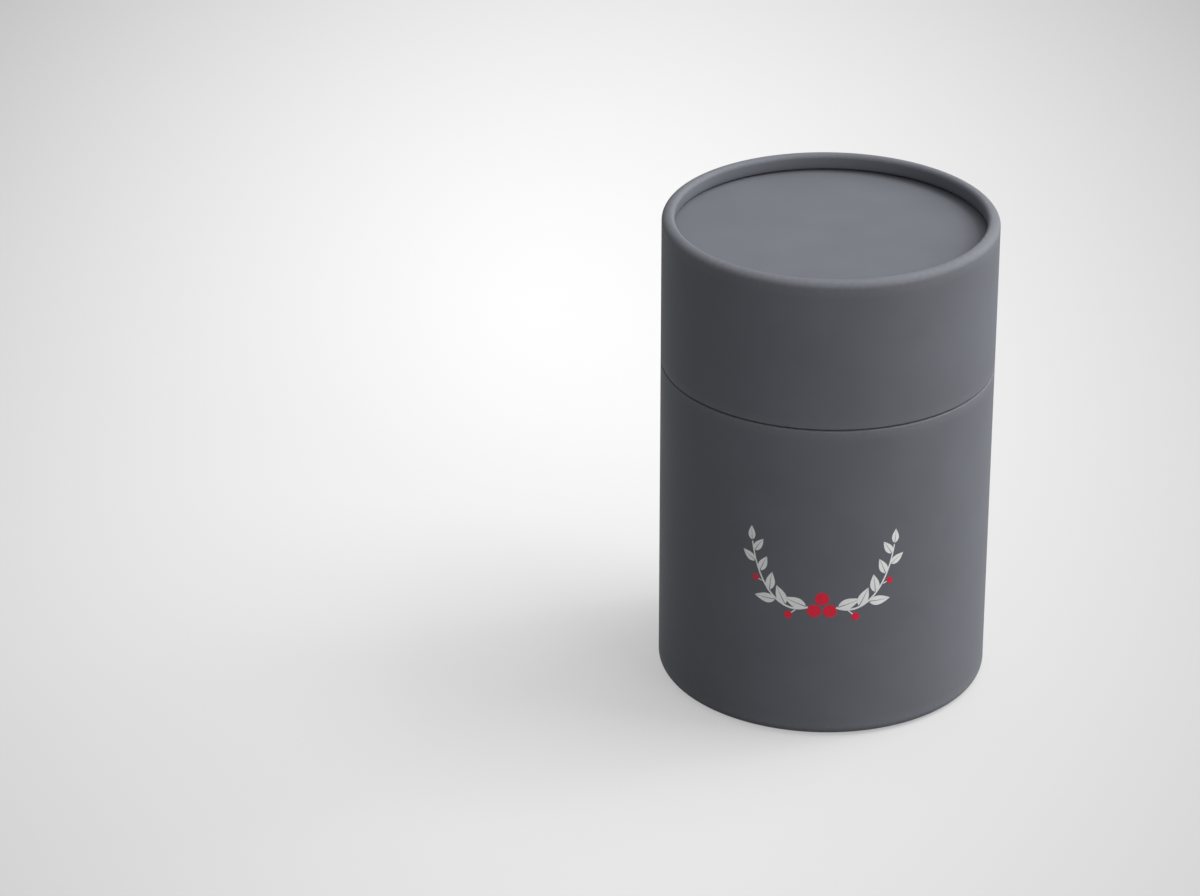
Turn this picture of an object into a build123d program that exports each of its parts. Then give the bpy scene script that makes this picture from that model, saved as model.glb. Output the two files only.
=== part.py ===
from build123d import *
import os
from collections import namedtuple
from math import acos, cos, degrees, radians, sin, sqrt

# Cylindrical gift tube box: a round paper-tube body with a neck, and a lift-off lid.
# The tube's axis is Z, the box stands on Z = 0, and its front faces -Y. Sizes are in millimetres.

# Driving sizes
tube_radius = 50.0       # outside of the wrapped body and of the wrapped lid
body_height = 101.6      # from the foot to the mouth, where the lid's edge comes to rest
lid_height = 46.8        # from the lid's edge to the crest of its rolled rim
neck_reach = 26.5        # how far the neck stands out of the body's mouth
neck_clearance = 0.25    # air between the neck and the turned-in paper of the lid

# Boards and papers
tube_board = 1.2         # wound board of the body and of the lid
neck_board = 1.35        # wound board of the neck
disc_board = 2.0         # flat board of the two end discs
wrap_paper = 0.2         # dark paper outside
lining_paper = 0.15      # white and light grey paper inside, and on the neck
glue_line = 0.05         # glue between two layers
disc_clearance = 0.1     # round each disc, so that it drops into its tube
butt_gap = 0.1           # where a lining stops short of a turned-in edge

# Rolled edges: the tube's end is curled inwards until its cut edge presses on the end disc.
# The crest share says how much of the roll's width lies outside its crest.
end_recess = 5.5         # from a roll's crest down to the face of the disc
lid_fold_gap = 0.9       # between the two leaves of board inside the lid's roll
lid_crest_share = 0.684
lid_crest_land = 0.2     # flat on the crest of the lid's roll
base_fold_gap = 1.5
base_crest_share = 0.773
base_crest_land = 0.4    # flat that the box stands on

# Folded edges: paper turned over a cut edge of board and glued down inside
mouth_bevel = 0.4        # bevel of the fold at both mouths
rim_bevel = 0.4          # bevel of the fold on the neck's rim
lid_turn_in = 5.0        # dark band that shows inside the lid
base_turn_in = 12.0      # hidden between the body's board and the neck
neck_turn_in = 8.0       # white paper turned down inside the neck

# Side seams: each wrap overlaps itself in a strip down the back.
# The strip is pressed flat where the tube is rolled and where it is folded.
lap_width = 8.0
lap_taper = 3.0
base_seam_azimuth = 86
lid_seam_azimuth = 108

# Layers counted inwards from the outside
skin = wrap_paper + glue_line
mouth_wall = skin + tube_board + skin
board_inside = tube_radius - skin - tube_board
mouth_inside = tube_radius - mouth_wall

# The neck is set by the lid that slides over it
neck_radius = mouth_inside - neck_clearance
neck_skin = lining_paper + glue_line
neck_wall = neck_skin + neck_board + neck_skin
bore_radius = neck_radius - neck_wall

# Heights. Each end disc is a board with paper on both faces, counted inwards from its recess.
overall_height = body_height + lid_height
neck_top = body_height + neck_reach
disc_board_face = end_recess + skin
disc_lining_face = disc_board_face + disc_board + glue_line
floor_height = disc_lining_face + lining_paper
ceiling_height = overall_height - floor_height
disc_radius = board_inside - disc_clearance

# One record for each rolled tube. Its mouth is the folded edge and its crest the rolled one.
# rise is 1 where the roll is above the mouth and -1 where it is below.
Roll = namedtuple("Roll", "mouth crest rise inside outer_round inner_round")


def rolled_tube(mouth, crest, rise, fold_gap, crest_share, crest_land):
    """Work out a roll's visible inner radius and the two rounds that meet on its crest."""
    width = 2 * (skin + tube_board) + fold_gap
    outer_round = crest_share * width
    inner_round = width - outer_round - crest_land
    return Roll(mouth, crest, rise, tube_radius - width, outer_round, inner_round)


lid_roll = rolled_tube(body_height, overall_height, 1, lid_fold_gap, lid_crest_share, lid_crest_land)
base_roll = rolled_tube(body_height, 0, -1, base_fold_gap, base_crest_share, base_crest_land)


def draw_fold(inset, outside, inside, edge, rise, bevel):
    """Draw the line round a wall's edge, from its inner face to its outer face.

    inset is how deep below the paper's surface the line lies. The bevels shrink with it, so
    that the layers stay as thick round the edge as they are on the wall. Returns both ends.
    """
    corner = bevel - inset * (2 - sqrt(2))
    low = edge + rise * inset
    high = low + rise * corner
    left = inside + inset
    right = outside - inset
    Polyline((left, high), (left + corner, low), (right - corner, low), (right, high))
    return (left, high), (right, high)


def draw_roll(inset, roll):
    """Draw the line over a rolled edge, from the outer wall to the cut edge on the disc."""
    outer_centre = (tube_radius - roll.outer_round, roll.crest - roll.rise * roll.outer_round)
    inner_centre = (roll.inside + roll.inner_round, roll.crest - roll.rise * roll.inner_round)
    outer = CenterArc(outer_centre, roll.outer_round - inset, 0, 90 * roll.rise)
    inner = CenterArc(inner_centre, roll.inner_round - inset, 90 * roll.rise, 90 * roll.rise)
    cut_edge = (roll.inside + inset, roll.crest - roll.rise * end_recess)
    Line(outer @ 1, inner @ 0)
    Line(inner @ 1, cut_edge)
    return outer @ 0, cut_edge


def draw_skin(inset, roll):
    """Draw one face of a tube's outer layers, from inside the mouth to the end of the roll."""
    inside_mouth, outside_mouth = draw_fold(
        inset, tube_radius, mouth_inside, roll.mouth, roll.rise, mouth_bevel
    )
    wall_end, cut_edge = draw_roll(inset, roll)
    Line(outside_mouth, wall_end)
    return inside_mouth, cut_edge


def draw_board_outline(roll):
    """Draw the closed section of a board tube with one rolled edge.

    Inside the roll the two leaves of board meet in a crease, where the bend of the outer
    leaf runs into the straight inner leaf.
    """
    mouth_end, cut_edge = draw_skin(skin, roll)
    bend = roll.outer_round - skin - tube_board
    bend_centre = (tube_radius - roll.outer_round, roll.crest - roll.rise * roll.outer_round)
    leaf_inside = roll.inside + skin + tube_board
    crease_angle = degrees(acos((leaf_inside - bend_centre[0]) / bend))
    bend_arc = CenterArc(bend_centre, bend, 0, crease_angle * roll.rise)
    leaf_foot = (leaf_inside, roll.crest - roll.rise * end_recess)
    Line(cut_edge, leaf_foot)
    Line(leaf_foot, bend_arc @ 1)
    Line(bend_arc @ 0, mouth_end)


def draw_wrap_outline(roll, turn_in):
    """Draw the closed section of a wrap: over the roll, down the wall and round the mouth."""
    outer_start, outer_end = draw_skin(0, roll)
    inner_start, inner_end = draw_skin(wrap_paper, roll)
    turned_edge = roll.mouth + roll.rise * turn_in
    Polyline(
        outer_start,
        (mouth_inside, turned_edge),
        (mouth_inside + wrap_paper, turned_edge),
        inner_start,
    )
    Line(outer_end, inner_end)


def draw_lap_outline(roll):
    """Draw the section of the overlap down a wrap's straight wall, feathered at both ends."""
    low = roll.mouth + roll.rise * mouth_bevel
    high = roll.crest - roll.rise * roll.outer_round
    feather = roll.rise * lap_taper
    Polyline(
        (tube_radius - wrap_paper / 2, low),
        (tube_radius, low),
        (tube_radius + wrap_paper, low + feather),
        (tube_radius + wrap_paper, high - feather),
        (tube_radius, high),
        (tube_radius - wrap_paper / 2, high),
        close=True,
    )


def lap_plane(azimuth):
    """The upright plane through the tube's axis at which an overlap begins."""
    turn = radians(azimuth)
    return Plane(origin=(0, 0, 0), x_dir=(cos(turn), sin(turn), 0), z_dir=(sin(turn), -cos(turn), 0))


lap_angle = degrees(lap_width / tube_radius)

# Body: board tube with its foot rolled inwards
with BuildPart() as base_tube:
    with BuildSketch(Plane.XZ):
        with BuildLine():
            draw_board_outline(base_roll)
        make_face()
    revolve()

# Body: dark wrap, from the disc in the foot up to the mouth and down inside it
with BuildPart() as base_wrap:
    with BuildSketch(Plane.XZ):
        with BuildLine():
            draw_wrap_outline(base_roll, base_turn_in)
        make_face()
    revolve()
    with BuildSketch(lap_plane(base_seam_azimuth)):
        with BuildLine():
            draw_lap_outline(base_roll)
        make_face()
    revolve(revolution_arc=lap_angle)

# Body: dark paper on the underside of the end disc
with BuildPart() as base_disc_cover:
    with BuildSketch(Plane.XY.offset(end_recess)):
        Circle(disc_radius)
    extrude(amount=wrap_paper)

# Body: end disc, held between the rolled foot and the lower end of the neck
with BuildPart() as base_disc:
    with BuildSketch(Plane.XY.offset(disc_board_face)):
        Circle(disc_radius)
    extrude(amount=disc_board)

# Body: white paper on the disc's upper face, the floor of the box
with BuildPart() as floor_lining:
    with BuildSketch(Plane.XY.offset(disc_lining_face)):
        Circle(disc_radius)
    extrude(amount=lining_paper)

# Neck: board tube that stands on the floor inside the body
with BuildPart() as neck_tube:
    with BuildSketch(Plane.XZ):
        with BuildLine():
            rim_inside, rim_outside = draw_fold(
                neck_skin, neck_radius, bore_radius, neck_top, -1, rim_bevel
            )
            Polyline(
                rim_inside,
                (bore_radius + neck_skin, floor_height),
                (neck_radius - neck_skin, floor_height),
                rim_outside,
            )
        make_face()
    revolve()

# Neck: white paper outside, turned over the rim and down inside
with BuildPart() as neck_paper:
    with BuildSketch(Plane.XZ):
        with BuildLine():
            face_inside, face_outside = draw_fold(
                0, neck_radius, bore_radius, neck_top, -1, rim_bevel
            )
            back_inside, back_outside = draw_fold(
                lining_paper, neck_radius, bore_radius, neck_top, -1, rim_bevel
            )
            Polyline(
                face_inside,
                (bore_radius, neck_top - neck_turn_in),
                (bore_radius + lining_paper, neck_top - neck_turn_in),
                back_inside,
            )
            Polyline(
                face_outside,
                (neck_radius, floor_height),
                (neck_radius - lining_paper, floor_height),
                back_outside,
            )
        make_face()
    revolve()

# Neck: white lining of the bore, from the floor up to the turned-in paper
with BuildPart() as bore_lining:
    with BuildSketch(Plane.XY.offset(floor_height)):
        Circle(bore_radius + lining_paper)
        Circle(bore_radius, mode=Mode.SUBTRACT)
    extrude(amount=neck_top - neck_turn_in - butt_gap - floor_height)

# Lid: board tube with its top rolled inwards
with BuildPart() as lid_tube:
    with BuildSketch(Plane.XZ):
        with BuildLine():
            draw_board_outline(lid_roll)
        make_face()
    revolve()

# Lid: dark wrap, from the disc over the roll and down to the turned-in edge
with BuildPart() as lid_wrap:
    with BuildSketch(Plane.XZ):
        with BuildLine():
            draw_wrap_outline(lid_roll, lid_turn_in)
        make_face()
    revolve()
    with BuildSketch(lap_plane(lid_seam_azimuth)):
        with BuildLine():
            draw_lap_outline(lid_roll)
        make_face()
    revolve(revolution_arc=lap_angle)

# Lid: dark paper on top of the end disc
with BuildPart() as lid_disc_cover:
    with BuildSketch(Plane.XY.offset(overall_height - end_recess)):
        Circle(disc_radius)
    extrude(amount=-wrap_paper)

# Lid: end disc under the roll
with BuildPart() as lid_disc:
    with BuildSketch(Plane.XY.offset(overall_height - disc_board_face)):
        Circle(disc_radius)
    extrude(amount=-disc_board)

# Lid: light grey paper on the disc's lower face, the ceiling of the box
with BuildPart() as lid_ceiling_lining:
    with BuildSketch(Plane.XY.offset(ceiling_height)):
        Circle(disc_radius)
    extrude(amount=lining_paper)

# Lid: light grey lining of the wall, from the turned-in edge up to the ceiling
lining_outside = board_inside - glue_line
lining_foot = body_height + lid_turn_in + butt_gap
with BuildPart() as lid_lining:
    with BuildSketch(Plane.XY.offset(lining_foot)):
        Circle(lining_outside)
        Circle(lining_outside - lining_paper, mode=Mode.SUBTRACT)
    extrude(amount=ceiling_height - lining_foot)

base_tube.part.label = "base_tube"
base_wrap.part.label = "base_wrap"
base_disc.part.label = "base_disc"
base_disc_cover.part.label = "base_disc_cover"
neck_tube.part.label = "neck_tube"
neck_paper.part.label = "neck_paper"
bore_lining.part.label = "bore_lining"
floor_lining.part.label = "floor_lining"
lid_tube.part.label = "lid_tube"
lid_wrap.part.label = "lid_wrap"
lid_disc.part.label = "lid_disc"
lid_disc_cover.part.label = "lid_disc_cover"
lid_lining.part.label = "lid_lining"
lid_ceiling_lining.part.label = "lid_ceiling_lining"

os.makedirs("parts", exist_ok=True)
export_step(base_tube.part, "parts/base_tube.step")
export_step(base_wrap.part, "parts/base_wrap.step")
export_step(base_disc.part, "parts/base_disc.step")
export_step(base_disc_cover.part, "parts/base_disc_cover.step")
export_step(neck_tube.part, "parts/neck_tube.step")
export_step(neck_paper.part, "parts/neck_paper.step")
export_step(bore_lining.part, "parts/bore_lining.step")
export_step(floor_lining.part, "parts/floor_lining.step")
export_step(lid_tube.part, "parts/lid_tube.step")
export_step(lid_wrap.part, "parts/lid_wrap.step")
export_step(lid_disc.part, "parts/lid_disc.step")
export_step(lid_disc_cover.part, "parts/lid_disc_cover.step")
export_step(lid_lining.part, "parts/lid_lining.step")
export_step(lid_ceiling_lining.part, "parts/lid_ceiling_lining.step")
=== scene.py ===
from collections import namedtuple
from math import cos, hypot, pi, radians, sin

import bpy
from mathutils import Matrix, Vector


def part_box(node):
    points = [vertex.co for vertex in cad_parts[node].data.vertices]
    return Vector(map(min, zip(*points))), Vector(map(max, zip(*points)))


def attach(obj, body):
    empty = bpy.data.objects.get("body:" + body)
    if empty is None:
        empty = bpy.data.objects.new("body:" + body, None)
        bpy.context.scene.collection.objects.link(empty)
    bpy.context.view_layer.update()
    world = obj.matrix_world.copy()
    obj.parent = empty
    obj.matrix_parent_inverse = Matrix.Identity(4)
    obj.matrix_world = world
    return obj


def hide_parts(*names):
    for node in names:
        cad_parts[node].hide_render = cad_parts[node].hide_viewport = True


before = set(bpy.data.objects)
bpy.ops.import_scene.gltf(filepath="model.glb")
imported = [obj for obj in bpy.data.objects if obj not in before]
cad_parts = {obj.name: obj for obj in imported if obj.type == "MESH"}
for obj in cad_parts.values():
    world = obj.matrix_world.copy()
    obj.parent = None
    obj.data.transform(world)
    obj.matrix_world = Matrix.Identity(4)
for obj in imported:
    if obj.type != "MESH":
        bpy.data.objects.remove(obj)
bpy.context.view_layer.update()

# Cylindrical gift tube box: dark soft-touch paper outside, a white neck, a lift-off lid.
# Lengths are in metres, and the tube's axis is Z. Azimuths are degrees round it from +X.
MM = 0.001

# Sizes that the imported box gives
tube_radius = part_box("base_wrap")[1].x
body_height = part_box("base_wrap")[1].z
overall_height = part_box("lid_wrap")[1].z
neck_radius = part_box("neck_paper")[1].x
neck_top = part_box("neck_paper")[1].z
floor_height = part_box("floor_lining")[1].z
base_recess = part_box("base_disc_cover")[0].z
lid_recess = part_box("lid_disc_cover")[1].z

# Papers and their folds
wrap_paper = 0.2 * MM
lining_paper = 0.15 * MM
skin = 0.25 * MM            # a wrap and its glue
tube_board = 1.2 * MM
mouth_wall = tube_board + 2 * skin
neck_wall = 1.75 * MM
fold_round = 0.32 * MM      # at both corners where paper is turned over a cut edge of board
fold_crown = 0.26 * MM      # how much a folded edge stands out more at its inner corner
lid_turn_in = 5.0 * MM
base_turn_in = 12.0 * MM
neck_turn_in = 8.0 * MM

# Side seams: the end of each sheet is glued over its own beginning
lap_width = 8.0 * MM
lap_rise = 0.21 * MM        # the paper's thickness and its glue
lap_ramp = 2.2 * MM         # over which the end climbs on to the beginning
lap_press = 3.0 * MM        # over which it is pressed flat next to a fold or a roll
lining_lap_share = 0.75     # a lining is thinner than a wrap, so its lap rises less
base_seam_azimuth = 86
lid_seam_azimuth = 108
neck_seam_azimuth = 90
bore_seam_azimuth = 64
lid_lining_seam_azimuth = 75

# Smoothness of the meshes
columns = 360               # round the tube
round_steps = 12            # over each round of a roll
fold_steps = 6              # over each corner of a fold
weld = 0.001 * MM           # points nearer than this become one
sharp_turn = radians(40)    # faces that meet at more than this keep a sharp edge

# Each roll falls away outwards to the wall, and is turned down inwards and tucked in on the disc
tuck_width = 0.85 * MM
tuck_gap = 0.6 * MM         # the crease that stays open over the disc
Roll = namedtuple("Roll", "mouth crest rise inside crest_radius shoulder belly foot turn_in")
lid_roll = Roll(
    mouth=body_height, crest=overall_height, rise=1, inside=46.2 * MM, crest_radius=47.5 * MM,
    shoulder=2.15 * MM, belly=1.3 * MM, foot=lid_recess, turn_in=lid_turn_in,
)
base_roll = Roll(
    mouth=body_height, crest=0.0, rise=-1, inside=45.6 * MM, crest_radius=46.9 * MM,
    shoulder=3.0 * MM, belly=1.3 * MM, foot=base_recess, turn_in=base_turn_in,
)

# The print: two leafy sprigs. The right stem starts, bends at two handles and ends at these points.
stem_points = ((4.2, -11.4), (12.0, -14.8), (19.5, -6.8), (21.5, 8.0))      # in millimetres
stem_smoothness = 24
stem_steps = 60
stem_taper = 0.45           # how much thinner a stem is at its tip
size_spread = 0.07          # how much leaves and berries differ by chance
tip_shrink = 0.35           # how much smaller they are at the tip
berry_turn = 4              # every fourth place of a sprig holds a berry
leaf_steps = (11, 3)        # points along and across half a leaf
leaf_bias = 0.75            # under 1, a leaf is widest nearer its foot
leaf_weld = 0.002 * MM
midrib_taper = 0.8
stalk_steps = (4, 2)
berry_sides = 24
middle_berry_sides = 32
middle_apart = 1.12         # from the centre line to a lower berry in the middle, in its radii
middle_above = 1.94         # from the lower berries to the top one, in its radii
print_sizes = {
    "Places": 10, "Leaf angle": radians(40), "Seed": 5, "Stalk": 0.6 * MM, "Radius": tube_radius,
    "Azimuth": radians(-93), "Height": 55 * MM, "Ink film": 0.03 * MM, "Berry stalk": 1.6 * MM,
}
leaf_sizes = {
    "Leaf length": 7.0 * MM, "Leaf half width": 1.6 * MM, "Leaf curl": 0.5 * MM,
    "Midrib half width": 0.14 * MM, "Stem half width": 0.32 * MM,
}
berry_sizes = {"Berry radius": 1.2 * MM, "Middle": -12.6 * MM, "Middle berry": 2.1 * MM}

# Colours in linear light. Two in a pair are the darker and the lighter tone of one sheet.
black = (0, 0, 0, 1)
charcoal = ((0.142, 0.147, 0.167, 1), (0.154, 0.16, 0.182, 1))
# The wrap's paler grey: wear in rubbed patches, and a painted highlight all over each bend
wear_and_highlight_grey = (0.3, 0.31, 0.33, 1)
white = ((0.78, 0.78, 0.785, 1), (0.82, 0.82, 0.825, 1))
light_grey = ((0.56, 0.565, 0.58, 1), (0.61, 0.615, 0.63, 1))
board_grey = ((0.38, 0.35, 0.3, 1), (0.5, 0.46, 0.4, 1))
board_fleck = (0.16, 0.14, 0.12, 1)
board_joint = (0.2, 0.18, 0.15, 1)
white_print = ((0.93, 0.93, 0.93, 1), (0.84, 0.84, 0.85, 1))        # full, and thin on a fibre
red_print = ((0.8, 0.008, 0.045, 1), (0.66, 0.006, 0.036, 1))

# Grain, wear, and a painted highlight on bends. Each range is the part of a noise, from 0 to 1, over
# which an effect comes in.
fibre_stretch = (0.3, 1, 1)     # fibres lie along the sheet
grain_fineness = 2.3            # of the grain between the fibres, next to theirs
grain_share = 0.4               # of the height of the tooth, where the rest is fibres
tone_range = (0.3, 0.7)
rub_range = (0.45, 0.75)
rub_share = 0.12                # of the rubbed grey in a rubbed patch
stretch_and_highlight_share = 0.08               # of that grey all over a bend: partly stretched paper, partly a painted highlight
fleck_range = (0.56, 0.66)
fleck_share = 0.5
thin_ink_range = (0.52, 0.66)
velvet_specular = 0.12


# Sections of boards and papers, as points: radius, height, and 1 where the sheet is bent


def arc(centre, across, up, start, turn, steps):
    """Points of an oval round, from the angle start through turn degrees."""
    angles = [radians(start + turn * n / steps) for n in range(steps + 1)]
    return [(centre[0] + across * cos(a), centre[1] + up * sin(a), 1.0) for a in angles]


def fold_line(inset, outside, inside, edge, rise):
    """Points round a folded edge, from the inner face to the outer face."""
    height = edge + rise * (fold_round + fold_crown)
    across = fold_round - inset
    inner = arc((inside + fold_round, height), across, across + fold_crown, 180, 90 * rise, fold_steps)
    outer = arc((outside - fold_round, height), across, across, -90 * rise, 90 * rise, fold_steps)
    return inner + outer


def wall_line(radius, low, high, rise):
    """Points up a straight wall, with one on each side of where the overlap is pressed flat."""
    heights = [low, low + rise * lap_press, (low + high) / 2, high - rise * lap_press, high]
    return [(radius, z, 0.0) for z in heights]


def roll_line(inset, roll):
    """Points over a rolled edge, from the outer wall to the cut edge tucked in on the disc."""
    crest_radius = max(roll.crest_radius, roll.inside + inset)
    centre = (crest_radius, roll.crest - roll.rise * roll.shoulder)
    width = tube_radius - inset - crest_radius
    shoulder = arc(centre, width, roll.shoulder - inset, 0, 90 * roll.rise, round_steps)
    drop = max(roll.belly, inset)
    belly = []
    if crest_radius == roll.crest_radius:
        centre = (crest_radius, roll.crest - roll.rise * drop)
        width = crest_radius - roll.inside - inset
        belly = arc(centre, width, drop - inset, 90 * roll.rise, 90 * roll.rise, round_steps)
    centre = (roll.inside + inset + tuck_width, roll.crest - roll.rise * drop)
    depth = abs(roll.crest - roll.foot) - tuck_gap - drop
    tuck = arc(centre, tuck_width, depth, 180, 90 * roll.rise, round_steps)
    return shoulder + belly[1:-1] + [(radius, height, 0.0) for radius, height, _ in tuck]


def wrap_line(inset, roll):
    """Points along one face of a wrap, from its turned edge to the end of its roll."""
    inside = tube_radius - mouth_wall
    turned_edge = (inside + inset, roll.mouth + roll.rise * roll.turn_in, 0.0)
    fold = fold_line(inset, tube_radius, inside, roll.mouth, roll.rise)
    low = roll.mouth + roll.rise * (fold_round + fold_crown)
    high = roll.crest - roll.rise * roll.shoulder
    wall = wall_line(tube_radius - inset, low, high, roll.rise)
    return [turned_edge] + fold + wall[1:-1] + roll_line(inset, roll)


def board_line(inset, roll):
    """Points along one face of a wound board, from its cut edge in the fold to that on the disc."""
    start = roll.mouth + roll.rise * (skin + fold_crown)
    return [(tube_radius - inset, start, 0.0)] + roll_line(inset, roll)


def neck_line(inset):
    """Points along one face of the neck's paper, from its turned edge to its foot."""
    inside = neck_radius - neck_wall
    fold = fold_line(inset, neck_radius, inside, neck_top, -1)
    turned_edge = (inside + inset, neck_top - neck_turn_in, 0.0)
    return [turned_edge] + fold + [(neck_radius - inset, floor_height, 0.0)]


def wrap_lap(point, roll):
    """How far a point of a wrap's section stands off where the sheet laps over itself."""
    radius, height, _ = point
    if radius < tube_radius - 2 * wrap_paper:
        return 0.0
    from_fold = roll.rise * (height - roll.mouth) - fold_round - fold_crown
    from_roll = roll.rise * (roll.crest - height) - roll.shoulder
    return max(0.0, min(1.0, from_fold / lap_press, from_roll / lap_press))


def no_lap(point):
    """A board or a paper whose edges meet stands off nowhere."""
    return 0.0


def lining_lap(point):
    """A lining laps over itself inwards, all the way up."""
    return -lining_lap_share


# Building node trees


def wire(tree, socket, value):
    """Link a socket to another node's output, or give it a plain value."""
    if isinstance(value, bpy.types.NodeSocket):
        tree.links.new(value, socket)
    else:
        socket.default_value = value


def add(tree, kind, inputs=None, **settings):
    """Add a node with its settings, and fill its inputs by name or by number."""
    node = tree.nodes.new(kind)
    for name, value in settings.items():
        setattr(node, name, value)
    for key, value in (inputs or {}).items():
        wire(tree, node.inputs[key], value)
    return node


def calc(tree, operation, *values):
    """One step of arithmetic on numbers."""
    return add(tree, "ShaderNodeMath", dict(enumerate(values)), operation=operation).outputs[0]


def vector_calc(tree, operation, *values):
    """One step of arithmetic on vectors."""
    node = add(tree, "ShaderNodeVectorMath", dict(enumerate(values)), operation=operation)
    return node.outputs[0]


def rescale(tree, value, low, high, to_low, to_high, kind="LINEAR"):
    """Carry a value from one range to another, and keep it inside."""
    inputs = {"Value": value, "From Min": low, "From Max": high, "To Min": to_low, "To Max": to_high}
    return add(tree, "ShaderNodeMapRange", inputs, interpolation_type=kind).outputs["Result"]


def new_group(name, kind, inputs, outputs):
    """A node group with its sockets, each a name and a kind of socket."""
    tree = bpy.data.node_groups.new(name, kind)
    for in_out, sockets in (("INPUT", inputs), ("OUTPUT", outputs)):
        for title, socket in sockets.items():
            tree.interface.new_socket(title, in_out=in_out, socket_type="NodeSocket" + socket)
    return tree, tree.nodes.new("NodeGroupInput").outputs, tree.nodes.new("NodeGroupOutput").inputs


def fill(tree, group, inputs):
    """Place a group in a tree with its own values, and give its outputs."""
    node = add(tree, group.bl_idname.replace("Tree", "Group"), node_tree=group)
    for title, value in inputs.items():
        wire(tree, node.inputs[title], value)
    return node.outputs


def own_place(tree):
    """The X, Y and Z of each point."""
    position = add(tree, "GeometryNodeInputPosition").outputs[0]
    return add(tree, "ShaderNodeSeparateXYZ", {0: position}).outputs


def round_axis(tree, radius, angle, height):
    """A place round the tube's axis."""
    return add(tree, "ShaderNodeCombineXYZ", {
        "X": calc(tree, "MULTIPLY", radius, calc(tree, "COSINE", angle)),
        "Y": calc(tree, "MULTIPLY", radius, calc(tree, "SINE", angle)),
        "Z": height,
    }).outputs[0]


def placed(tree, geometry, position):
    """A geometry with its points at new places."""
    inputs = {"Geometry": geometry, "Position": position}
    return add(tree, "GeometryNodeSetPosition", inputs).outputs[0]


def shifted(tree, geometry, **shift):
    """A geometry moved along X and Y."""
    by = add(tree, "ShaderNodeCombineXYZ", shift).outputs[0]
    return add(tree, "GeometryNodeTransform", {"Geometry": geometry, "Translation": by}).outputs[0]


def flipped(tree, geometry):
    """A geometry with its faces turned over."""
    return add(tree, "GeometryNodeFlipFaces", {"Mesh": geometry}).outputs[0]


def welded(tree, geometry, distance):
    """A geometry with its points that lie nearer than a distance made one."""
    inputs = {"Geometry": geometry, "Distance": distance}
    return add(tree, "GeometryNodeMergeByDistance", inputs).outputs[0]


def joined(tree, *geometries):
    """Several geometries as one."""
    node = tree.nodes.new("GeometryNodeJoinGeometry")
    for geometry in geometries:
        tree.links.new(geometry, node.inputs[0])
    return node.outputs[0]


def made_real(tree, geometry):
    """A geometry whose instances are meshes of their own."""
    return add(tree, "GeometryNodeRealizeInstances", {"Geometry": geometry}).outputs[0]


def coated(tree, geometry, material):
    """A finished geometry in its material."""
    inputs = {"Geometry": made_real(tree, geometry), "Material": material}
    return add(tree, "GeometryNodeSetMaterial", inputs).outputs[0]


def make_piece(name, start, tree, values, body):
    """Run a tree on a start mesh or curve, and keep the result as a plain mesh on a body."""
    source = bpy.data.objects.new(name + "_source", start)
    bpy.context.scene.collection.objects.link(source)
    modifier = source.modifiers.new("Shape", "NODES")
    modifier.node_group = tree
    for item in tree.interface.items_tree:
        if item.in_out == "INPUT" and item.name in values:
            modifier[item.identifier] = values[item.name]
    bpy.context.view_layer.update()
    shaped = source.evaluated_get(bpy.context.evaluated_depsgraph_get())
    mesh = bpy.data.meshes.new_from_object(shaped)
    bpy.data.objects.remove(source)
    mesh.name = name
    mesh.set_sharp_from_angle(angle=sharp_turn)
    piece = bpy.data.objects.new(name, mesh)
    bpy.context.scene.collection.objects.link(piece)
    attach(piece, body)
    return piece


# A sheet of board or paper wound once round the tube


def section_mesh(name, points, laps):
    """The closed section of a sheet, as a line of points that carry what the winding needs."""
    runs = [0.0]
    for before, after in zip(points, points[1:]):
        runs.append(runs[-1] + hypot(after[0] - before[0], after[1] - before[1]))
    mesh = bpy.data.meshes.new(name)
    edges = [(n, n + 1) for n in range(len(points) - 1)]
    mesh.from_pydata([(radius, 0.0, height) for radius, height, _ in points], edges, [])
    bends = [bend for _, _, bend in points]
    for title, values in (("lap_share", laps), ("bend", bends), ("run", runs)):
        mesh.attributes.new(title, "FLOAT", "POINT").data.foreach_set("value", values)
    return mesh


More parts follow.
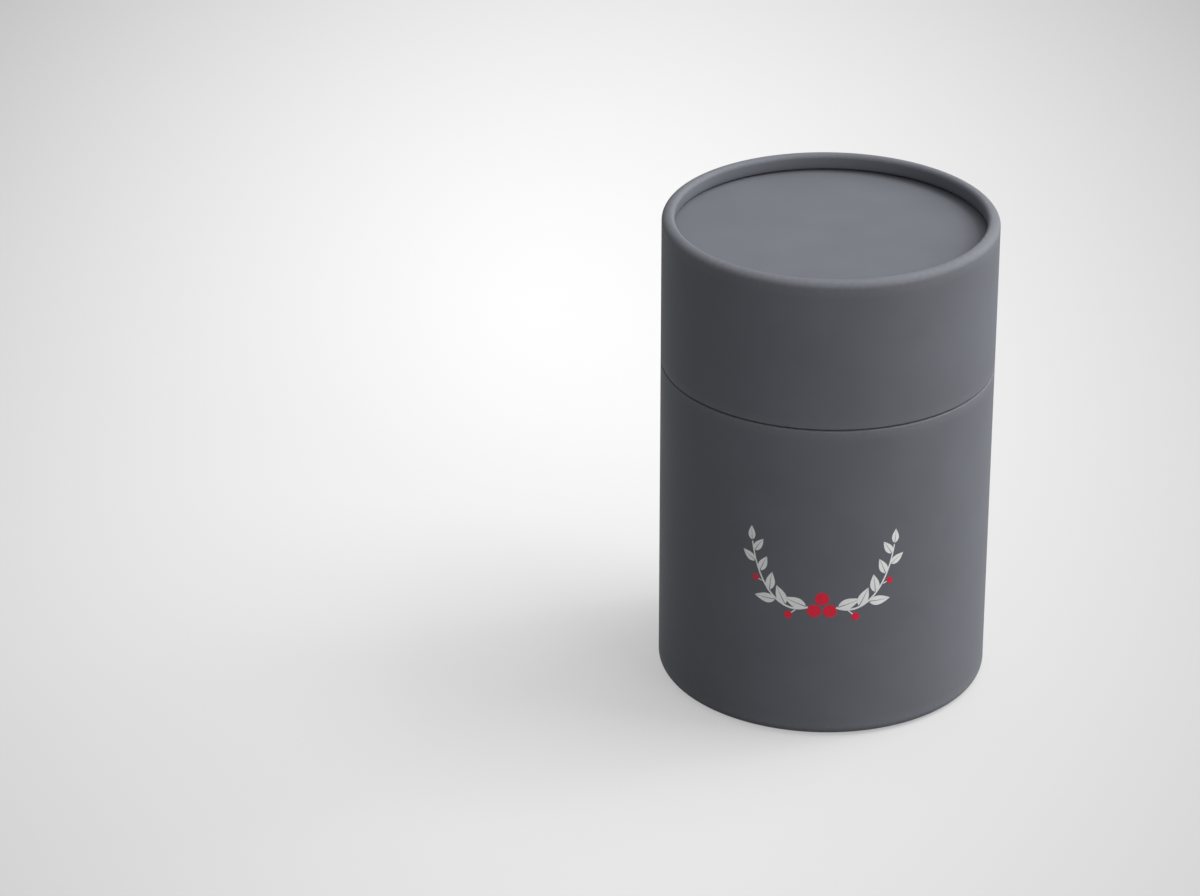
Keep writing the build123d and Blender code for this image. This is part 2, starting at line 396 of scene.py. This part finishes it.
def wound_sheet_tree():
    """Wind a section round the axis, and lap the end of the sheet over its beginning."""
    tree, given, result = new_group("Wound sheet", "GeometryNodeTree", {
        "Section": "Geometry", "Columns": "Int", "Radius": "Float", "Seam azimuth": "Float",
        "Lap width": "Float", "Lap ramp": "Float", "Lap rise": "Float", "Paper": "Material",
    }, {"Sheet": "Geometry"})
    tree.is_modifier = True
    size = add(tree, "GeometryNodeAttributeDomainSize", {"Geometry": given["Section"]})
    rows = size.outputs["Point Count"]
    grid = add(tree, "GeometryNodeMeshGrid", {
        "Vertices X": calc(tree, "ADD", given["Columns"], 2.0), "Vertices Y": rows,
    })
    index = add(tree, "GeometryNodeInputIndex").outputs[0]
    column = calc(tree, "FLOOR", calc(tree, "DIVIDE", calc(tree, "ADD", index, 0.5), rows))
    row = calc(tree, "SUBTRACT", index, calc(tree, "MULTIPLY", column, rows))

    def from_section(value):
        return add(tree, "GeometryNodeSampleIndex", {
            "Geometry": given["Section"], "Value": value, "Index": row,
        }).outputs["Value"]

    def stored(title):
        return add(tree, "GeometryNodeInputNamedAttribute", {"Name": title}).outputs["Attribute"]

    place = own_place(tree)
    radius = from_section(place["X"])
    height = from_section(place["Z"])
    share = from_section(stored("lap_share"))
    bend = from_section(stored("bend"))
    run = from_section(stored("run"))

    # The last two columns share one azimuth: the raised end of the sheet, then its beginning
    turn = calc(tree, "MINIMUM", calc(tree, "DIVIDE", column, given["Columns"]), 1.0)
    is_sheet = calc(tree, "LESS_THAN", column, calc(tree, "ADD", given["Columns"], 0.5))
    girth = calc(tree, "MULTIPLY", given["Radius"], 2 * pi)
    to_end = calc(tree, "MULTIPLY", calc(tree, "SUBTRACT", 1.0, turn), girth)
    ramp_end = calc(tree, "SUBTRACT", given["Lap width"], given["Lap ramp"])
    raised = rescale(tree, to_end, ramp_end, given["Lap width"], 1.0, 0.0, "SMOOTHSTEP")
    step = calc(tree, "MULTIPLY", calc(tree, "MULTIPLY", raised, is_sheet), given["Lap rise"])
    lifted = calc(tree, "ADD", radius, calc(tree, "MULTIPLY", step, share))
    angle = calc(tree, "ADD", given["Seam azimuth"], calc(tree, "MULTIPLY", turn, 2 * pi))

    # The index is worked out per point before the map goes to the corners of the faces
    flat = add(tree, "ShaderNodeCombineXYZ", {"X": calc(tree, "MULTIPLY", turn, girth), "Y": run})
    at_points = add(tree, "GeometryNodeFieldOnDomain", {
        "Value": flat.outputs[0],
    }, data_type="FLOAT_VECTOR", domain="POINT")
    laid_out = add(tree, "GeometryNodeStoreNamedAttribute", {
        "Geometry": grid.outputs["Mesh"], "Name": "sheet", "Value": at_points.outputs[0],
    }, data_type="FLOAT2", domain="CORNER")
    bent = add(tree, "GeometryNodeStoreNamedAttribute", {
        "Geometry": laid_out.outputs[0], "Name": "bend", "Value": bend,
    }, data_type="FLOAT", domain="POINT")
    wound = placed(tree, bent.outputs[0], round_axis(tree, lifted, angle, height))
    closed = welded(tree, wound, weld)
    smooth = add(tree, "GeometryNodeSetShadeSmooth", {"Geometry": closed}).outputs[0]
    wire(tree, result["Sheet"], coated(tree, smooth, given["Paper"]))
    return tree


def sheet_piece(name, face, back, lap, azimuth, paper, body, node):
    """Wind one sheet and let it stand for its plain node."""
    points = face + back[::-1] + face[:1]
    turned = sum(a[0] * b[1] - b[0] * a[1] for a, b in zip(points, points[1:]))
    if turned < 0:
        points.reverse()
    start = section_mesh(name + "_section", points, [lap(point) for point in points])
    piece = make_piece(name, start, wound_sheet, {
        "Columns": columns, "Radius": tube_radius,
        "Seam azimuth": radians(azimuth) + lap_width / tube_radius,
        "Lap width": lap_width, "Lap ramp": lap_ramp, "Lap rise": lap_rise, "Paper": paper,
    }, body)
    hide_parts(node)


def board_piece(name, roll, azimuth, body, node):
    """A wound tube of board, with its rolled end."""
    face, back = [board_line(inset, roll) for inset in (skin, skin + tube_board)]
    sheet_piece(name, face, back, no_lap, azimuth, wound_board, body, node)


def wrap_piece(name, roll, azimuth, body, node):
    """A dark wrap with its roll, its fold and its side seam."""
    face, back = [wrap_line(inset, roll) for inset in (0.0, wrap_paper)]
    sheet_piece(
        name, face, back, lambda point: wrap_lap(point, roll), azimuth, wound_soft_touch, body, node,
    )


def lining_piece(name, azimuth, paper, body, node):
    """A lining inside a tube, which laps over itself inwards."""
    low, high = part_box(node)
    face = [(high.x - lining_paper, z, 0.0) for z in (high.z, (low.z + high.z) / 2, low.z)]
    back = [(high.x, z, 0.0) for _, z, _ in face]
    sheet_piece(name, face, back, lining_lap, azimuth, paper, body, node)


# A print on the front of the body: two leafy sprigs with three berries between them

sprig_inputs = {"Stem": "Geometry", "Places": "Int", "Leaf angle": "Float", "Seed": "Int"}
film_inputs = {"Radius": "Float", "Azimuth": "Float", "Height": "Float", "Ink film": "Float"}
print_inputs = {
    **sprig_inputs, **film_inputs, "Ink": "Material", "Stalk": "Float", "Berry stalk": "Float",
}


def drawing_on_tube_group():
    """Lay a flat drawing on the tube, with X round it and Y up, as a closed film of ink."""
    tree, given, result = new_group("Drawing on a tube", "GeometryNodeTree", {
        "Drawing": "Geometry", **film_inputs,
    }, {"Print": "Geometry"})
    flat = own_place(tree)
    angle = calc(tree, "ADD", given["Azimuth"], calc(tree, "DIVIDE", flat["X"], given["Radius"]))
    radius = calc(tree, "MULTIPLY_ADD", given["Ink film"], 0.5, given["Radius"])
    height = calc(tree, "ADD", flat["Y"], given["Height"])
    laid = placed(tree, given["Drawing"], round_axis(tree, radius, angle, height))
    film = add(tree, "GeometryNodeExtrudeMesh", {
        "Mesh": laid, "Offset Scale": given["Ink film"], "Individual": False,
    })
    both = joined(tree, film.outputs["Mesh"], flipped(tree, laid))
    wire(tree, result["Print"], welded(tree, both, weld))
    return tree


def sprig_places_group():
    """Points along a stem for leaves and berries in turn, left and right, smaller to the tip."""
    tree, given, result = new_group("Sprig places", "GeometryNodeTree", sprig_inputs, {
        "Points": "Geometry", "Direction": "Float", "Is berry": "Float", "Size": "Float",
    })
    points = add(tree, "GeometryNodeCurveToPoints", {"Curve": given["Stem"], "Count": given["Places"]})
    tangent = add(tree, "ShaderNodeSeparateXYZ", {0: points.outputs["Tangent"]})
    heading = calc(tree, "ARCTAN2", tangent.outputs["Y"], tangent.outputs["X"])
    index = add(tree, "GeometryNodeInputIndex").outputs[0]
    last = calc(tree, "SUBTRACT", given["Places"], 1.0)
    before_tip = calc(tree, "LESS_THAN", index, calc(tree, "SUBTRACT", last, 0.5))
    side = calc(tree, "MULTIPLY_ADD", calc(tree, "MODULO", index, 2.0), -2.0, 1.0)
    lean = calc(tree, "MULTIPLY", calc(tree, "MULTIPLY", side, before_tip), given["Leaf angle"])
    is_turn = calc(tree, "COMPARE", calc(tree, "MODULO", index, float(berry_turn)), 1.0, 0.1)
    share = calc(tree, "DIVIDE", index, last)
    chance = add(tree, "FunctionNodeRandomValue", {
        "Min": 1 - size_spread, "Max": 1 + size_spread, "Seed": given["Seed"],
    }).outputs["Value"]
    size = calc(tree, "MULTIPLY", calc(tree, "MULTIPLY_ADD", share, -tip_shrink, 1.0), chance)
    wire(tree, result["Points"], points.outputs["Points"])
    wire(tree, result["Direction"], calc(tree, "ADD", heading, lean))
    wire(tree, result["Is berry"], calc(tree, "MULTIPLY", is_turn, before_tip))
    wire(tree, result["Size"], size)
    return tree


def places_on_stem(tree, given):
    """The places of a sprig on this tree's own stem."""
    return fill(tree, sprig_places, {title: given[title] for title in sprig_inputs})


def grown(tree, places, selection, shape):
    """A shape at the chosen places of a sprig, turned and sized as the places say."""
    turn = add(tree, "ShaderNodeCombineXYZ", {"Z": places["Direction"]})
    return add(tree, "GeometryNodeInstanceOnPoints", {
        "Points": places["Points"], "Selection": selection, "Instance": shape,
        "Rotation": turn.outputs[0], "Scale": places["Size"],
    }).outputs[0]


def mirrored_print(tree, given, right_half, *middle):
    """The right half with its mirror image, printed on the tube."""
    other = add(tree, "GeometryNodeTransform", {"Geometry": right_half, "Scale": (-1, 1, 1)})
    left_half = flipped(tree, other.outputs[0])
    printed = fill(tree, drawing_on_tube, {
        "Drawing": joined(tree, right_half, left_half, *middle),
        **{title: given[title] for title in film_inputs},
    })
    return coated(tree, printed[0], given["Ink"])


def half_leaf(tree, given, side):
    """One half of a leaf beside its bare midrib, with the leaf's foot at the origin."""
    grid = add(tree, "GeometryNodeMeshGrid", {
        "Size X": 1.0, "Size Y": 1.0, "Vertices X": leaf_steps[0], "Vertices Y": leaf_steps[1],
    }).outputs["Mesh"]
    place = own_place(tree)
    along = calc(tree, "ADD", place["X"], 0.5)
    across = calc(tree, "ADD", place["Y"], 0.5)
    swell = calc(tree, "SINE", calc(tree, "MULTIPLY", calc(tree, "POWER", along, leaf_bias), pi))
    blade = calc(tree, "MULTIPLY", calc(tree, "MULTIPLY", swell, across), given["Leaf half width"])
    midrib_share = calc(tree, "MULTIPLY_ADD", along, -midrib_taper, 1.0)
    midrib = calc(tree, "MULTIPLY", midrib_share, given["Midrib half width"])
    curl = calc(tree, "MULTIPLY", calc(tree, "MULTIPLY", along, along), given["Leaf curl"])
    edge = calc(tree, "MULTIPLY_ADD", calc(tree, "ADD", blade, midrib), float(side), curl)
    position = add(tree, "ShaderNodeCombineXYZ", {
        "X": calc(tree, "MULTIPLY_ADD", along, given["Leaf length"], given["Stalk"]), "Y": edge,
    })
    leaf = welded(tree, placed(tree, grid, position.outputs[0]), leaf_weld)
    return leaf if side > 0 else flipped(tree, leaf)


def leafy_sprigs_tree():
    """Stems with their leaves, and a short stalk for each berry."""
    tree, given, result = new_group("Leafy sprigs", "GeometryNodeTree", {
        **print_inputs, **{title: "Float" for title in leaf_sizes},
    }, {"Print": "Geometry"})
    tree.is_modifier = True
    places = places_on_stem(tree, given)
    leaf = joined(tree, half_leaf(tree, given, 1), half_leaf(tree, given, -1))
    is_leaf = calc(tree, "SUBTRACT", 1.0, places["Is berry"])
    leaves = grown(tree, places, is_leaf, leaf)

    across = add(tree, "ShaderNodeCombineXYZ", {"X": given["Stem half width"]}).outputs[0]
    profile = add(tree, "GeometryNodeCurvePrimitiveLine", {
        "Start": vector_calc(tree, "MULTIPLY", across, (-1, -1, -1)), "End": across,
    })
    fine = add(tree, "GeometryNodeResampleCurve", {"Curve": given["Stem"], "Count": stem_steps})
    along = add(tree, "GeometryNodeSplineParameter").outputs["Factor"]
    stem = add(tree, "GeometryNodeCurveToMesh", {
        "Curve": fine.outputs[0], "Profile Curve": profile.outputs[0],
        "Scale": calc(tree, "MULTIPLY_ADD", along, -stem_taper, 1.0),
    })
    stalk = add(tree, "GeometryNodeMeshGrid", {
        "Size X": given["Berry stalk"], "Size Y": given["Stem half width"],
        "Vertices X": stalk_steps[0], "Vertices Y": stalk_steps[1],
    })
    reach = calc(tree, "MULTIPLY_ADD", given["Berry stalk"], 0.5, given["Stalk"])
    set_out = shifted(tree, stalk.outputs["Mesh"], X=reach)
    stalks = grown(tree, places, places["Is berry"], set_out)
    grown_parts = made_real(tree, joined(tree, leaves, stalks))
    right_half = joined(tree, stem.outputs[0], grown_parts)
    wire(tree, result["Print"], mirrored_print(tree, given, right_half))
    return tree


def berries_tree():
    """Round berries at the ends of the stalks, and three where the sprigs meet."""
    tree, given, result = new_group("Berries", "GeometryNodeTree", {
        **print_inputs, **{title: "Float" for title in berry_sizes},
    }, {"Print": "Geometry"})
    tree.is_modifier = True

    def berry(sides, radius):
        inputs = {"Vertices": sides, "Radius": radius}
        return add(tree, "GeometryNodeMeshCircle", inputs, fill_type="TRIANGLE_FAN").outputs["Mesh"]

    places = places_on_stem(tree, given)
    stalk_end = calc(tree, "ADD", given["Berry stalk"], given["Stalk"])
    reach = calc(tree, "ADD", stalk_end, given["Berry radius"])
    set_out = shifted(tree, berry(berry_sides, given["Berry radius"]), X=reach)
    on_stalks = made_real(tree, grown(tree, places, places["Is berry"], set_out))
    large = berry(middle_berry_sides, given["Middle berry"])
    beside = calc(tree, "MULTIPLY", given["Middle berry"], middle_apart)
    above = calc(tree, "MULTIPLY_ADD", given["Middle berry"], middle_above, given["Middle"])
    right = shifted(tree, large, X=beside, Y=given["Middle"])
    top = shifted(tree, large, Y=above)
    wire(tree, result["Print"], mirrored_print(tree, given, joined(tree, on_stalks, right), top))
    return tree


def stem_curve(start, start_handle, end_handle, end):
    """The right-hand stem, drawn flat with X round the tube and Y up."""
    curve = bpy.data.curves.new("Stem", "CURVE")
    curve.dimensions = "3D"
    spline = curve.splines.new("BEZIER")
    spline.bezier_points.add(1)
    spline.resolution_u = stem_smoothness
    for point, place, handle in zip(spline.bezier_points, (start, end), (start_handle, end_handle)):
        point.handle_left_type = point.handle_right_type = "FREE"
        point.co = (*place, 0)
        point.handle_left = point.handle_right = (*handle, 0)
    return curve


def printed_piece(name, tree, sizes, ink):
    """One colour of the print, on the body's wrap."""
    stem = stem_curve(*[(x * MM, y * MM) for x, y in stem_points])
    make_piece(name, stem, tree, {**print_sizes, **sizes, "Ink": ink}, "base")


# Effects that several materials share


def paper_tooth_group():
    """Fibres that lie along the sheet, a fine grain between them, and a slow change of tone."""
    tree, given, result = new_group("Paper tooth", "ShaderNodeTree", {
        "Place": "Vector", "Fibre": "Float", "Cloud": "Float",
    }, {"Height": "Float", "Tone": "Float"})

    def noise(place, scale, detail):
        inputs = {"Vector": place, "Scale": scale, "Detail": detail}
        return add(tree, "ShaderNodeTexNoise", inputs).outputs["Fac"]

    along = vector_calc(tree, "MULTIPLY", given["Place"], fibre_stretch)
    fibre_scale = calc(tree, "DIVIDE", 1.0, given["Fibre"])
    grain_scale = calc(tree, "MULTIPLY", fibre_scale, grain_fineness)
    cloud_scale = calc(tree, "DIVIDE", 1.0, given["Cloud"])
    fibres = calc(tree, "MULTIPLY", noise(along, fibre_scale, detail=2.0), 1 - grain_share)
    grain = noise(given["Place"], grain_scale, detail=1.0)
    cloud = noise(given["Place"], cloud_scale, detail=3.0)
    wire(tree, result["Height"], calc(tree, "MULTIPLY_ADD", grain, grain_share, fibres))
    wire(tree, result["Tone"], rescale(tree, cloud, *tone_range, 0.0, 1.0))
    return tree


def rubbed_bend_group():
    """Where a bent paper is rubbed: in small patches on its rolls and folds."""
    tree, given, result = new_group("Rubbed bend", "ShaderNodeTree", {
        "Place": "Vector", "Bend": "Float", "Patch": "Float",
    }, {"Mask": "Float"})
    patches = add(tree, "ShaderNodeTexNoise", {
        "Vector": given["Place"], "Scale": calc(tree, "DIVIDE", 1.0, given["Patch"]), "Detail": 4.0,
    })
    worn = rescale(tree, patches.outputs["Fac"], *rub_range, 0.0, 1.0)
    wire(tree, result["Mask"], calc(tree, "MULTIPLY", worn, given["Bend"]))
    return tree


def ply_joint_group():
    """The butt joint of a wound board, one thin line that climbs round the tube."""
    tree, given, result = new_group("Ply joint", "ShaderNodeTree", {
        "Place": "Vector", "Pitch": "Float", "Joint": "Float",
    }, {"Mask": "Float"})
    place = add(tree, "ShaderNodeSeparateXYZ", {0: given["Place"]}).outputs
    azimuth = calc(tree, "ARCTAN2", place["Y"], place["X"])
    climb = calc(tree, "DIVIDE", azimuth, 2 * pi)
    turns = calc(tree, "ADD", calc(tree, "DIVIDE", place["Z"], given["Pitch"]), climb)
    apart = calc(tree, "MULTIPLY", calc(tree, "PINGPONG", turns, 0.5), given["Pitch"])
    wire(tree, result["Mask"], rescale(tree, apart, 0.0, given["Joint"], 1.0, 0.0))
    return tree


# Materials


def mixed_colour(tree, factor, first, second):
    """From the first colour to the second."""
    node = tree.nodes.new("ShaderNodeMix")
    node.data_type = "RGBA"
    wire(tree, node.inputs[0], factor)
    wire(tree, node.inputs[6], first)
    wire(tree, node.inputs[7], second)
    return node.outputs[2]


def toothed_material(name, where, fibre, cloud):
    """A new material, with its tree, the place on its sheet or in its object, and its tooth."""
    material = bpy.data.materials.new(name)
    material.use_nodes = True
    tree = material.node_tree
    if where == "sheet":
        place = add(tree, "ShaderNodeUVMap", uv_map="sheet").outputs[0]
    else:
        place = add(tree, "ShaderNodeTexCoord").outputs["Object"]
    tooth = fill(tree, paper_tooth, {"Place": place, "Fibre": fibre, "Cloud": cloud})
    return material, tree, place, tooth


def dress(tree, tooth, colour, roughness, relief, depth):
    """Give the shader its colour, a roughness that follows the tone, and the tooth as relief."""
    shader = tree.nodes["Principled BSDF"].inputs
    bump = add(tree, "ShaderNodeBump", {
        "Height": tooth["Height"], "Strength": relief, "Distance": depth,
    })
    wire(tree, shader["Base Color"], colour)
    wire(tree, shader["Roughness"], rescale(tree, tooth["Tone"], 0.0, 1.0, *roughness))
    wire(tree, shader["Normal"], bump.outputs[0])
    return shader


def soft_touch_paper(name, where):
    """Dark grey paper with a velvety matt film, a little lighter in rubbed patches on its bends, and
    lighter all over each bend, partly stretched paper and partly a painted highlight.
    """
    material, tree, place, tooth = toothed_material(name, where, fibre=0.35 * MM, cloud=18 * MM)
    bend = add(tree, "ShaderNodeAttribute", attribute_name="bend").outputs["Fac"]
    rubbed = fill(tree, rubbed_bend, {"Place": place, "Bend": bend, "Patch": 1.5 * MM})["Mask"]
    # Painted highlight, partly stretched paper: every bend of the wrap is a little lighter all over
    stretch_and_highlight_on_bend = calc(tree, "MULTIPLY", bend, stretch_and_highlight_share)
    lighter = calc(tree, "MULTIPLY_ADD", rubbed, rub_share, stretch_and_highlight_on_bend)
    ground = mixed_colour(tree, tooth["Tone"], *charcoal)
    colour = mixed_colour(tree, lighter, ground, wear_and_highlight_grey)
    shader = dress(tree, tooth, colour, roughness=(0.57, 0.63), relief=0.25, depth=0.02 * MM)
    shader["Specular IOR Level"].default_value = velvet_specular
    return material


def lining_sheet(name, where, tones):
    """Smooth uncoated paper, between two tones."""
    material, tree, _, tooth = toothed_material(name, where, fibre=0.3 * MM, cloud=25 * MM)
    colour = mixed_colour(tree, tooth["Tone"], *tones)
    dress(tree, tooth, colour, roughness=(0.6, 0.7), relief=0.2, depth=0.02 * MM)
    return material


def greyboard(name, is_wound):
    """Recycled board with dark and light fibres, and its ply joint where it is wound."""
    material, tree, place, tooth = toothed_material(name, "object", fibre=0.6 * MM, cloud=12 * MM)
    colour = mixed_colour(tree, tooth["Tone"], *board_grey)
    flecks = rescale(tree, tooth["Height"], *fleck_range, 0.0, fleck_share)
    colour = mixed_colour(tree, flecks, colour, board_fleck)
    if is_wound:
        joint = fill(tree, ply_joint, {"Place": place, "Pitch": 62 * MM, "Joint": 0.35 * MM})
        colour = mixed_colour(tree, joint["Mask"], colour, board_joint)
    dress(tree, tooth, colour, roughness=(0.8, 0.9), relief=0.4, depth=0.05 * MM)
    return material


def screen_ink(name, full, thin):
    """Matt printing ink, thinner on the high fibres of the paper under it."""
    material, tree, _, tooth = toothed_material(name, "object", fibre=0.35 * MM, cloud=10 * MM)
    on_fibres = rescale(tree, tooth["Height"], *thin_ink_range, 0.0, 1.0)
    colour = mixed_colour(tree, on_fibres, full, thin)
    dress(tree, tooth, colour, roughness=(0.48, 0.56), relief=0.3, depth=0.02 * MM)
    return material


paper_tooth = paper_tooth_group()
rubbed_bend = rubbed_bend_group()
ply_joint = ply_joint_group()
wound_soft_touch = soft_touch_paper("Soft-touch wrap", "sheet")
flat_soft_touch = soft_touch_paper("Soft-touch disc paper", "object")
neck_white = lining_sheet("White neck paper", "sheet", white)
floor_white = lining_sheet("White floor paper", "object", white)
lid_grey = lining_sheet("Light grey lid lining", "sheet", light_grey)
ceiling_grey = lining_sheet("Light grey ceiling paper", "object", light_grey)
wound_board = greyboard("Wound greyboard", True)
flat_board = greyboard("Flat greyboard", False)
white_ink = screen_ink("White ink", *white_print)
red_ink = screen_ink("Red ink", *red_print)

# Boards and papers
wound_sheet = wound_sheet_tree()
board_piece("base_board", base_roll, base_seam_azimuth, "base", "base_tube")
board_piece("lid_board", lid_roll, lid_seam_azimuth, "lid", "lid_tube")
wrap_piece("base_sheet", base_roll, base_seam_azimuth, "base", "base_wrap")
wrap_piece("lid_sheet", lid_roll, lid_seam_azimuth, "lid", "lid_wrap")
sheet_piece(
    "neck_sheet", neck_line(0.0), neck_line(lining_paper), no_lap,
    neck_seam_azimuth, neck_white, "base", "neck_paper",
)
lining_piece("bore_sheet", bore_seam_azimuth, neck_white, "base", "bore_lining")
lining_piece("lid_lining_sheet", lid_lining_seam_azimuth, lid_grey, "lid", "lid_lining")

# Print
drawing_on_tube = drawing_on_tube_group()
sprig_places = sprig_places_group()
printed_piece("print_leaves", leafy_sprigs_tree(), leaf_sizes, white_ink)
printed_piece("print_berries", berries_tree(), berry_sizes, red_ink)

# Finishes of the plain pieces
finishes = {
    "neck_tube": wound_board, "base_disc": flat_board, "lid_disc": flat_board,
    "base_disc_cover": flat_soft_touch, "lid_disc_cover": flat_soft_touch,
    "floor_lining": floor_white, "lid_ceiling_lining": ceiling_grey,
}
for node, finish in finishes.items():
    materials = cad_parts[node].data.materials
    materials.clear()
    materials.append(finish)

# Studio: a pale floor with a painted pool of light behind the box, which far away becomes the backdrop
floor_reach = 4.0
floor_paint = (0.44, 0.438, 0.438, 1)
floor_glow = (0.475, 0.473, 0.473, 1)
bounce_grey = (0.15, 0.15, 0.15, 1)     # the floor as the box's faces see it
pool_centre = (-0.096, 0.254, 0.0)
pool_reach = (0.219, 0.54, 1.0)
pool_fall = 0.3             # how much darker it is one reach from its centre
pool_power = 1.33
pool_least = 0.5
fade_reach = (1.43, 3.2)    # from where to where the backdrop takes over, in pool reaches
backdrop_glow = 0.6
dome_glow = 0.38            # the light that comes from all round


def floor_material():
    """Paint and glow, brightest in the painted pool of light, where the floor is seen, and elsewhere a
    plain grey.
    """
    material = bpy.data.materials.new("Studio floor")
    material.use_nodes = True
    tree = material.node_tree
    tree.nodes.clear()
    place = add(tree, "ShaderNodeTexCoord").outputs["Object"]
    offset = vector_calc(tree, "DIVIDE", vector_calc(tree, "SUBTRACT", place, pool_centre), pool_reach)
    apart = add(tree, "ShaderNodeVectorMath", {0: offset}, operation="LENGTH").outputs["Value"]
    # Painted pool of light: the floor's paint and glow fall off from the pool's centre
    pool = calc(tree, "MULTIPLY_ADD", calc(tree, "POWER", apart, pool_power), -pool_fall, 1.0)
    pool = calc(tree, "MAXIMUM", pool, pool_least)
    far = rescale(tree, apart, *fade_reach, 0.0, 1.0, "SMOOTHSTEP")
    backdrop = (backdrop_glow, backdrop_glow, backdrop_glow, 1)
    paint = mixed_colour(tree, far, mixed_colour(tree, pool, black, floor_paint), black)
    light = mixed_colour(tree, far, mixed_colour(tree, pool, black, floor_glow), backdrop)
    seen = add(tree, "ShaderNodeBsdfDiffuse", {"Color": paint}).outputs[0]
    glow = add(tree, "ShaderNodeEmission", {"Color": light, "Strength": 1.0}).outputs[0]
    bright = add(tree, "ShaderNodeAddShader", {0: seen, 1: glow}).outputs[0]
    plain = add(tree, "ShaderNodeBsdfDiffuse", {"Color": bounce_grey}).outputs[0]
    path = add(tree, "ShaderNodeLightPath").outputs
    shown = calc(tree, "MAXIMUM", path["Is Camera Ray"], path["Is Glossy Ray"])
    shown = calc(tree, "MAXIMUM", shown, path["Is Transmission Ray"])
    surface = add(tree, "ShaderNodeMixShader", {0: shown, 1: plain, 2: bright}).outputs[0]
    wire(tree, add(tree, "ShaderNodeOutputMaterial").inputs["Surface"], surface)
    return material


floor_mesh = bpy.data.meshes.new("studio_floor")
corners = [(x * floor_reach, y * floor_reach, 0) for x, y in ((-1, -1), (1, -1), (1, 1), (-1, 1))]
floor_mesh.from_pydata(corners, [], [(0, 1, 2, 3)])
floor_mesh.materials.append(floor_material())
studio_floor = bpy.data.objects.new("studio_floor", floor_mesh)
bpy.context.scene.collection.objects.link(studio_floor)

# Lamps: square soft boxes that stand round the box and face its middle
lamp_aim = Vector((0, 0, 0.07))
lamp_distance = 1.6
lamp_size = 0.9
SoftBox = namedtuple("SoftBox", "name azimuth elevation watts")
soft_boxes = [
    SoftBox("Main at the right", 0, 50, 18),
    SoftBox("High at the back right", 45, 70, 5.8),
    SoftBox("Low at the back right", 30, 22, 10.6),
    SoftBox("Low at the front right", -45, 22, 8.2),
]
for box in soft_boxes:
    lamp = bpy.data.lights.new(box.name, "AREA")
    lamp.shape = "SQUARE"
    lamp.size = lamp_size
    lamp.energy = box.watts
    holder = bpy.data.objects.new(box.name, lamp)
    turn, rise = radians(box.azimuth), radians(box.elevation)
    outwards = Vector((cos(rise) * cos(turn), cos(rise) * sin(turn), sin(rise)))
    holder.location = lamp_aim + lamp_distance * outwards
    holder.rotation_euler = outwards.to_track_quat("Z", "Y").to_euler()
    bpy.context.scene.collection.objects.link(holder)

world = bpy.data.worlds.new("Studio")
world.use_nodes = True
background = world.node_tree.nodes["Background"].inputs
is_seen = add(world.node_tree, "ShaderNodeLightPath").outputs["Is Camera Ray"]
strength = rescale(world.node_tree, is_seen, 0.0, 1.0, dome_glow, backdrop_glow)
background["Color"].default_value = (1, 1, 1, 1)
wire(world.node_tree, background["Strength"], strength)
bpy.context.scene.world = world

# Camera of the photograph's view
camera_lens = 134.6         # in millimetres, as is the sensor
camera_sensor = 36.0
camera_place = (-0.068152, -1.218472, 0.669642)
camera_tilt = 63.8577
camera_data = bpy.data.cameras.new("Camera")
camera_data.lens = camera_lens
camera_data.sensor_width = camera_sensor
camera = bpy.data.objects.new("Camera", camera_data)
camera.location = camera_place
camera.rotation_euler = (radians(camera_tilt), 0, 0)
bpy.context.scene.collection.objects.link(camera)
bpy.context.scene.camera = camera
bpy.context.scene.view_settings.view_transform = "Standard"
